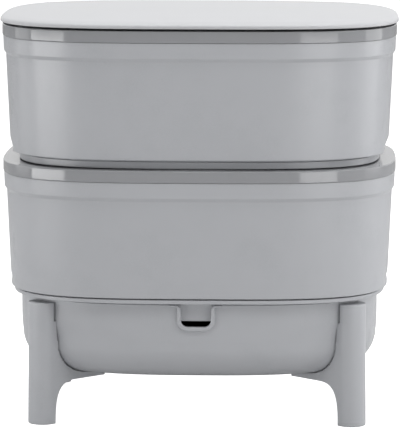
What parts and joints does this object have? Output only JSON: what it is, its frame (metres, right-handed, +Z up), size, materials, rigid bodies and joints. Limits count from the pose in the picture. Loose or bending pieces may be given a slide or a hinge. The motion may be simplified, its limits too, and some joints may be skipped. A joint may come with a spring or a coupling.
{
  "type": "wormery",
  "caption": "Rounded rectangular worm composter: stacking trays with grips and rim frames under a low domed lid, over a collector tub with a pouring notch on plug-on corner legs.",
  "frame": {"origin": "on the floor below the middle of the footprint", "axes": "+Z up; -Y towards the front, where the tub's pouring notch is; +X to the right seen from the front"},
  "size_m": [0.491, 0.38, 0.5039],
  "materials": {
    "satin_grey": "satin cool mid-grey moulded plastic",
    "gloss_grey": "glossy cool mid-grey moulded plastic",
    "lid_grey": "satin light grey moulded plastic"
  },
  "bodies": {
    "base": {"collector_tub": "satin_grey", "leg_front_left": "satin_grey", "leg_front_right": "satin_grey", "leg_back_left": "satin_grey", "leg_back_right": "satin_grey"},
    "lower_tray": {"lower_tray": "satin_grey", "lower_rim_frame": "gloss_grey"},
    "upper_tray": {"upper_tray": "satin_grey", "upper_rim_frame": "gloss_grey"},
    "lid": {"lid": "lid_grey"}
  },
  "joints": [
    {"name": "lower_tray_lift", "type": "slide", "parent": "base", "child": "lower_tray", "axis": [0, 0, 1], "range_m": [0, 0.2]},
    {"name": "upper_tray_lift", "type": "slide", "parent": "lower_tray", "child": "upper_tray", "axis": [0, 0, 1], "range_m": [0, 0.2]},
    {"name": "lid_lift", "type": "slide", "parent": "upper_tray", "child": "lid", "axis": [0, 0, 1], "range_m": [0, 0.2]}
  ]
}
